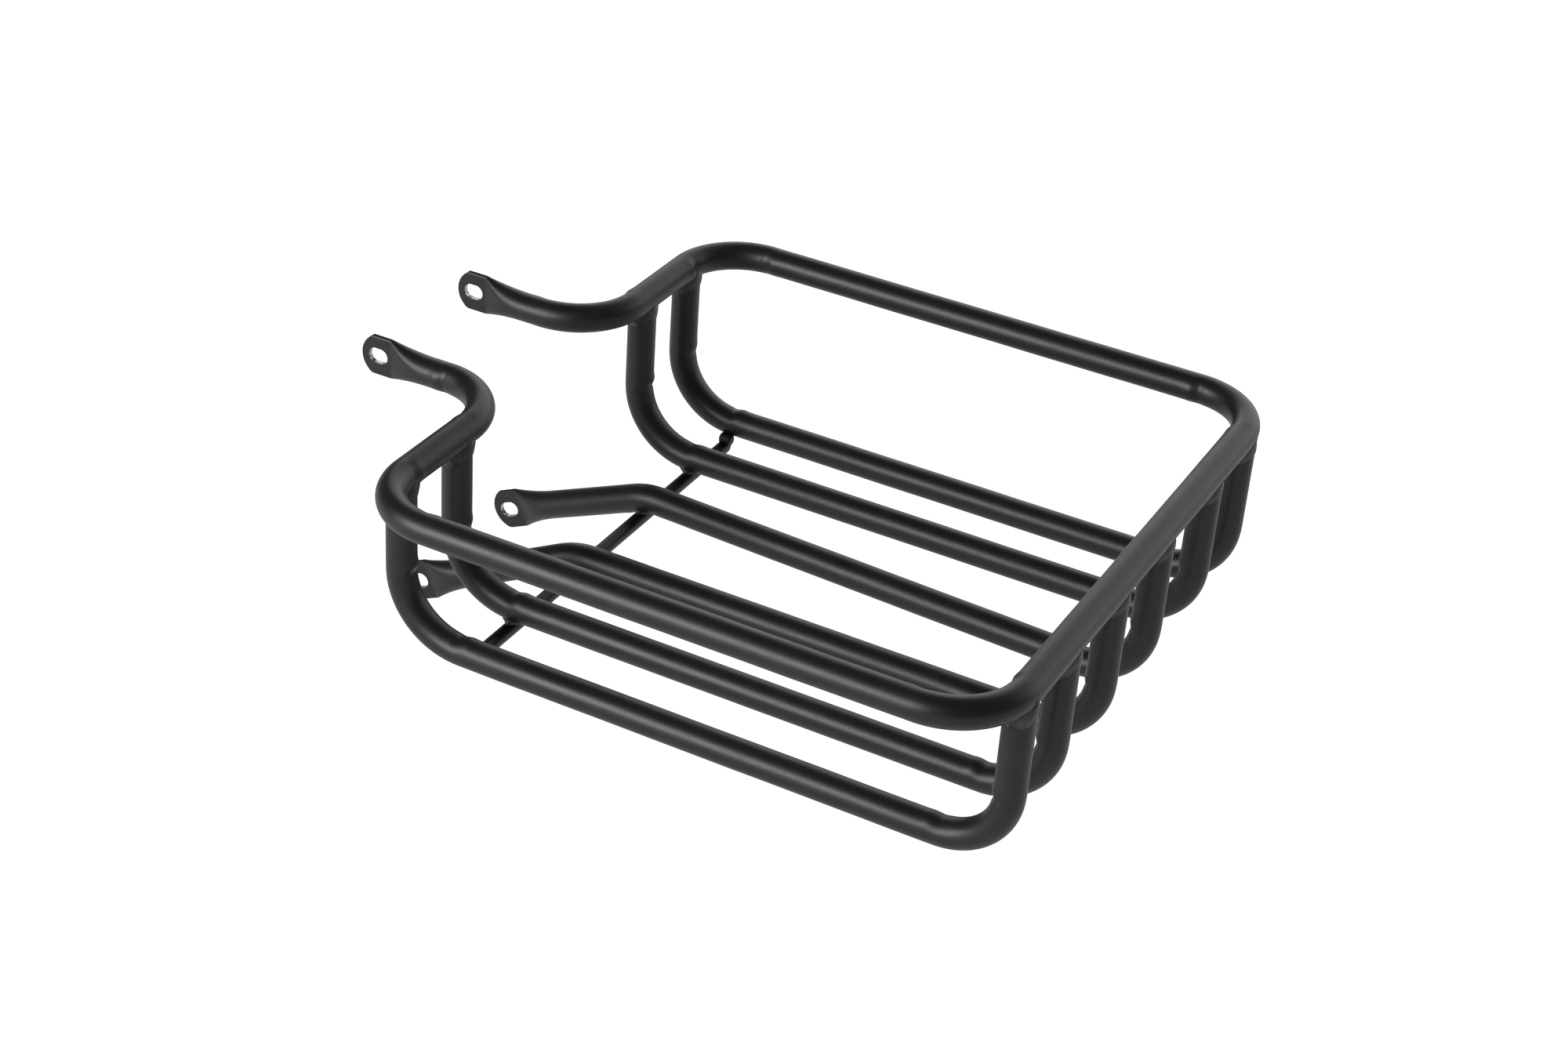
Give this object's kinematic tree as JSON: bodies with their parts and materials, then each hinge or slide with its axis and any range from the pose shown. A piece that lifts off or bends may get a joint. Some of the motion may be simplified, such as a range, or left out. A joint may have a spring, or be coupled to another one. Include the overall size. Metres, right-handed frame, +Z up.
{
  "type": "luggage rack",
  "caption": "Open basket rack of bent round tube: a rounded top rail over parallel floor tubes with upturned ends, bolted on by flattened, slotted tube ends.",
  "frame": {"origin": "bottom centre of the box around the part: midway along and across it, at the lowest point of the lower tabs", "axes": "+X away from the mounting tabs, +Y to the left when facing +X, +Z up with the basket's floor level"},
  "size_m": [0.447, 0.3766, 0.1597],
  "materials": {
    "black_paint": "satin black powder coat"
  },
  "bodies": {
    "root": {"top_rail": "black_paint", "outer_tube_left": "black_paint", "outer_tube_right": "black_paint", "inner_tube_left": "black_paint", "inner_tube_right": "black_paint", "stay_tube_left": "black_paint", "stay_tube_right": "black_paint", "cross_rod": "black_paint", "weld_front_outer_left": "black_paint", "weld_front_outer_right": "black_paint", "weld_front_inner_left": "black_paint", "weld_front_inner_right": "black_paint", "weld_front_stay_left": "black_paint", "weld_front_stay_right": "black_paint", "weld_rear_outer_left": "black_paint", "weld_rear_outer_right": "black_paint", "weld_rear_inner_left": "black_paint", "weld_rear_inner_right": "black_paint", "weld_rod_outer_left": "black_paint", "weld_rod_outer_right": "black_paint", "weld_rod_inner_left": "black_paint", "weld_rod_inner_right": "black_paint", "weld_rod_stay_left": "black_paint", "weld_rod_stay_right": "black_paint"}
  },
  "joints": []
}
